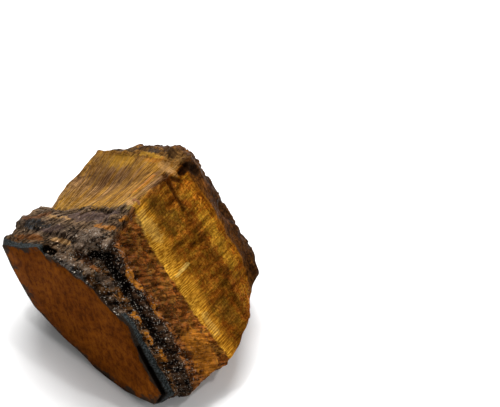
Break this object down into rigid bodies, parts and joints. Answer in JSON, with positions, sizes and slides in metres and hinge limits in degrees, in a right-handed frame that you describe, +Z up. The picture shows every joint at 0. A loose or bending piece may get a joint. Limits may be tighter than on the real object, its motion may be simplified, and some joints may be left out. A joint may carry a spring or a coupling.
{
  "type": "rough tiger's eye stone",
  "caption": "Rough lump of banded golden tiger's eye with dark ironstone crust and a flat sawn face, resting on its broken base.",
  "frame": {"origin": "middle of the stone's bounding box in X and Y, on the surface that it rests on", "axes": "+Z up as the stone rests; +Y back from the sawn face, across the bands; +X along the bands, the stone's longest way"},
  "size_m": [0.0522, 0.039, 0.0354],
  "materials": {
    "stone": "silky gold fibre bands between rough, slightly glittering dark brown to black ironstone bands, with one matt saw-cut face"
  },
  "bodies": {
    "root": {"tigers_eye_stone": "stone"}
  },
  "joints": []
}
